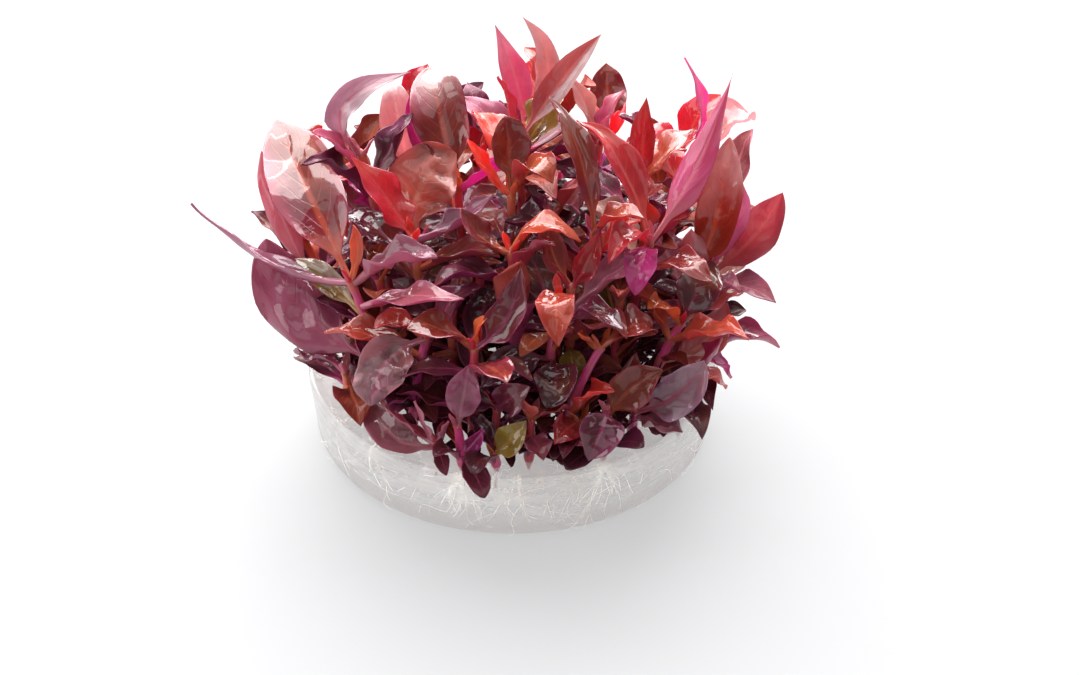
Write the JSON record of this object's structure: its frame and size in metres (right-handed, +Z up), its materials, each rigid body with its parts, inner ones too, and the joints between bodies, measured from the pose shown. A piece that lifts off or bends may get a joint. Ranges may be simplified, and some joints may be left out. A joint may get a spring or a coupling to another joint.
{
  "type": "alternanthera reineckii",
  "caption": "Dense clump of burgundy and red opposite leaves on upright stems, rooted in a low round cake of clear nutrient gel.",
  "frame": {"origin": "centre of the flat underside of the gel cake", "axes": "+Z up, away from the underside; -Y towards the side seen in the picture; +X to that view's right"},
  "size_m": [0.0915, 0.078, 0.067],
  "materials": {
    "gel": "clear, wet and slightly milky",
    "foliage": "wet and glossy, burgundy above and magenta below"
  },
  "bodies": {
    "root": {"gel_cake": "gel", "shoot_left_arm": "foliage", "shoot_left_rim": "foliage", "shoot_left_skirt": "foliage", "shoot_left_vee": "foliage", "shoot_left_fan": "foliage", "shoot_centre_vee": "foliage", "shoot_front_fork": "foliage", "shoot_front_band": "foliage", "shoot_centre_twin": "foliage", "shoot_front_magenta": "foliage", "shoot_right_magenta": "foliage", "shoot_right_tall": "foliage", "shoot_centre_right": "foliage", "shoot_right_brown": "foliage", "shoot_right_edge": "foliage", "shoot_right_low": "foliage", "shoot_front_right": "foliage", "shoot_right_skirt": "foliage", "shoot_front_tuft": "foliage", "shoot_front_mauve": "foliage", "shoot_front_heart": "foliage", "shoot_front_olive": "foliage", "shoot_front_bulb": "foliage", "shoot_front_red": "foliage", "shoot_front_dark": "foliage", "shoot_front_glossy": "foliage", "shoot_left_hook": "foliage", "shoot_left_back_broad": "foliage", "shoot_left_back": "foliage", "shoot_crown_front": "foliage", "shoot_crown_tall": "foliage", "shoot_crown_back": "foliage", "shoot_right_back_red": "foliage", "shoot_right_back_pink": "foliage", "shoot_back_right": "foliage", "shoot_front_low_left": "foliage", "shoot_inner_front_left": "foliage", "shoot_inner_left": "foliage", "shoot_inner_left_back": "foliage", "shoot_inner_centre": "foliage", "shoot_inner_front": "foliage", "shoot_inner_right": "foliage", "shoot_inner_right_front": "foliage", "shoot_inner_middle": "foliage", "shoot_inner_back": "foliage", "shoot_rim_left": "foliage", "shoot_rim_left_back": "foliage", "shoot_rim_back_left": "foliage", "shoot_back_left": "foliage", "shoot_rim_back": "foliage", "shoot_rim_back_near": "foliage", "shoot_back_middle": "foliage", "shoot_rim_back_far": "foliage", "shoot_rim_right_back": "foliage", "shoot_rim_right": "foliage"}
  },
  "joints": []
}
